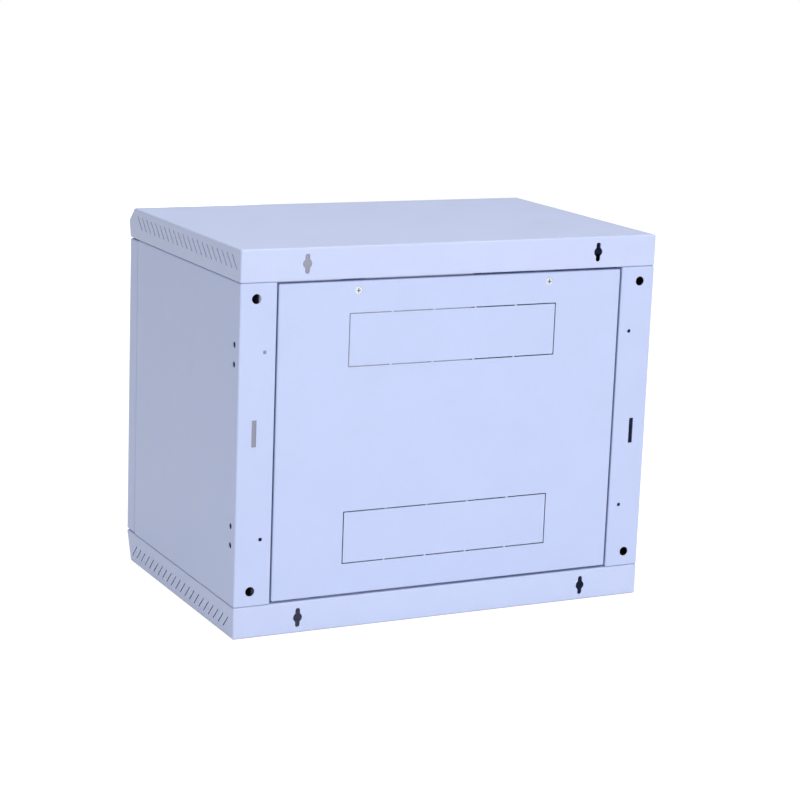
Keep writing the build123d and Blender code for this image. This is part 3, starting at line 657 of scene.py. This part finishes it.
def rail_bolt(low, high, head, radius, pitch):
    """Bolt along X: its head faces the middle of the rack."""
    points, faces = hexagon_rings(Vector((0, low.y, low.z)), Vector((head, high.y, high.z)),
                                  along=0, bore=None, both_ends=False)
    outward = 1 if low.x > 0 else -1
    inner_end = low.x if outward > 0 else high.x
    turned = [(inner_end + outward * (head - x), y, z) for x, y, z in points]
    if outward > 0:
        faces = [tuple(reversed(face)) for face in faces]
    middle_y = (low.y + high.y) / 2
    middle_z = (low.z + high.z) / 2
    ends = sorted((inner_end + outward * head, high.x if outward > 0 else low.x))
    shank = threaded_rod(Vector((ends[0], middle_y - radius, middle_z - radius)),
                         Vector((ends[1], middle_y + radius, middle_z + radius)), 0, pitch)
    return [(turned, faces), shank]


for corner in ("front_right", "front_left", "rear_right", "rear_left"):
    fasteners("rail_bolts_" + corner, "rail_" + corner, rail_bolt,
              head=bolt_head, radius=bolt_radius, pitch=m6_pitch)
    fasteners("rail_nuts_" + corner, "rail_" + corner, nut, along=0, bore=m6_bore)

# %% [markdown]
# ## Floor and background
#
# The photograph has a pure white ground with no horizon. A large plain floor stands in for it.
# Camera rays, and rays that come off a shiny face or through glass, see it partly as a plain white
# glow, so it reads as white while still taking the cabinet's soft shadow. All other rays see
# ordinary pale paint, and so does any ray that has already bounced off a matt face, so the glow
# adds no light to a matt face of the cabinet.

# %% Pale floor that keeps the shadow
floor_half = 12.0  # metres
glow_share = 0.62
glow_strength = 1.4
unbounced = 0.5  # a count of bounces below this is zero
floor_mesh = bpy.data.meshes.new("floor")
floor_mesh.from_pydata([(-floor_half, -floor_half, 0), (floor_half, -floor_half, 0),
                        (floor_half, floor_half, 0), (-floor_half, floor_half, 0)],
                       [], [(0, 1, 2, 3)])
floor = bpy.data.objects.new("floor", floor_mesh)
bpy.context.scene.collection.objects.link(floor)
floor_paint, tree = start_material("pale studio floor")
rays = add(tree, "ShaderNodeLightPath", {}, {})
seen = add(tree, "ShaderNodeMath", {"operation": "MAXIMUM"},
           {0: rays.outputs["Is Camera Ray"], 1: rays.outputs["Is Glossy Ray"]})
seen = add(tree, "ShaderNodeMath", {"operation": "MAXIMUM"},
           {0: seen.outputs["Value"], 1: rays.outputs["Is Transmission Ray"]})
first = add(tree, "ShaderNodeMath", {"operation": "LESS_THAN"},
            {0: rays.outputs["Diffuse Depth"], 1: unbounced})
seen = add(tree, "ShaderNodeMath", {"operation": "MULTIPLY"},
           {0: seen.outputs["Value"], 1: first.outputs["Value"]})
share = add(tree, "ShaderNodeMath", {"operation": "MULTIPLY"},
            {0: seen.outputs["Value"], 1: glow_share})
paint = add(tree, "ShaderNodeBsdfDiffuse", {}, {"Color": linear("#EFEFF0")})
glow = add(tree, "ShaderNodeEmission", {}, {"Color": linear("#FFFFFF"), "Strength": glow_strength})
mixed = add(tree, "ShaderNodeMixShader", {},
            {0: share.outputs["Value"], 1: paint.outputs["BSDF"], 2: glow.outputs["Emission"]})
add(tree, "ShaderNodeOutputMaterial", {}, {"Surface": mixed.outputs["Shader"]})
floor_mesh.materials.append(floor_paint)
print("floor is", 2 * floor_half, "m wide")

# %% [markdown]
# ## Light
#
# In the photograph the rear face is the brightest, the roof a little darker and the flank darker
# again, all without hard shadows: one large soft light stands beside the camera on the rear
# side, another hangs above, and a pale room fills the rest. The world gives that room light, and
# shows as white to the camera and through glass, as long as the ray hasn't bounced yet. Two weak
# lamps at the front and the left light the sides that the photograph doesn't show. They make no
# reflections, so the roof keeps the calm tone that it has in the photograph.

# %% World light
room_light = 0.39
world = bpy.data.worlds.new("pale room")
bpy.context.scene.world = world
world.use_nodes = True
tree = world.node_tree
tree.nodes.clear()
rays = add(tree, "ShaderNodeLightPath", {}, {})
seen = add(tree, "ShaderNodeMath", {"operation": "MAXIMUM"},
           {0: rays.outputs["Is Camera Ray"], 1: rays.outputs["Is Transmission Ray"]})
bounces = add(tree, "ShaderNodeMath", {"operation": "ADD"},
              {0: rays.outputs["Diffuse Depth"], 1: rays.outputs["Glossy Depth"]})
first = add(tree, "ShaderNodeMath", {"operation": "LESS_THAN"},
            {0: bounces.outputs["Value"], 1: unbounced})
seen = add(tree, "ShaderNodeMath", {"operation": "MULTIPLY"},
           {0: seen.outputs["Value"], 1: first.outputs["Value"]})
strength = add(tree, "ShaderNodeMapRange", {},
               {"Value": seen.outputs["Value"], "To Min": room_light, "To Max": 1.0})
room = add(tree, "ShaderNodeBackground", {},
           {"Color": linear("#FFFFFF"), "Strength": strength.outputs["Result"]})
add(tree, "ShaderNodeOutputWorld", {}, {"Surface": room.outputs["Background"]})
print("room light", room_light)

# %% Soft lights
cabinet_middle = Vector((0, 0, 0.25))


def soft_light(name, watts, size, place, reflected=True):
    """Round lamp that points at the cabinet's middle; size and place in metres."""
    lamp = bpy.data.lights.new(name, "AREA")
    lamp.shape = "DISK"
    lamp.size = size
    lamp.energy = watts
    holder = bpy.data.objects.new(name, lamp)
    holder.location = place
    holder.rotation_euler = (cabinet_middle - Vector(place)).to_track_quat("-Z", "Y").to_euler()
    holder.visible_glossy = reflected
    bpy.context.scene.collection.objects.link(holder)


soft_light("rear softbox", watts=61, size=2.4, place=(0.1, 3.6, 1.6))
soft_light("ceiling softbox", watts=58, size=3.0, place=(0.2, 0.4, 3.6))
soft_light("front softbox", watts=26, size=1.4, place=(-1.2, -3.6, 0.7), reflected=False)
soft_light("left softbox", watts=14, size=1.6, place=(-3.4, -0.5, 0.9), reflected=False)
print("lamps:", [item.name for item in bpy.data.lights])

# %% [markdown]
# ## Camera
#
# The camera stands where the photographer stood. Its place, direction and lens come from fitting
# the cabinet's known corners and holes to where they appear in the photograph, to within a pixel.
# The right, up and backward directions below become the columns of its turn. The lens follows from
# the focal length in pixels and the sensor's width.

# %% Photographer's camera
photo_pixels = 800  # width of the photograph
focal_pixels = 2282.26
sensor_mm = 36
camera_place = Vector((1.37086, 2.75101, 0.92526))
right = Vector((-0.894602, 0.445330, 0.036991))
up = Vector((-0.063198, -0.208033, 0.976078))
back = right.cross(up)
camera_data = bpy.data.cameras.new("photographer")
camera_data.sensor_width = sensor_mm
camera_data.lens = focal_pixels * sensor_mm / photo_pixels
camera = bpy.data.objects.new("photographer", camera_data)
camera.matrix_world = (Matrix.Translation(camera_place)
                       @ Matrix((right, up, back)).transposed().to_4x4())
bpy.context.scene.collection.objects.link(camera)
bpy.context.scene.camera = camera
bpy.context.scene.view_settings.view_transform = "Standard"
print("lens", round(camera_data.lens, 1), "mm")
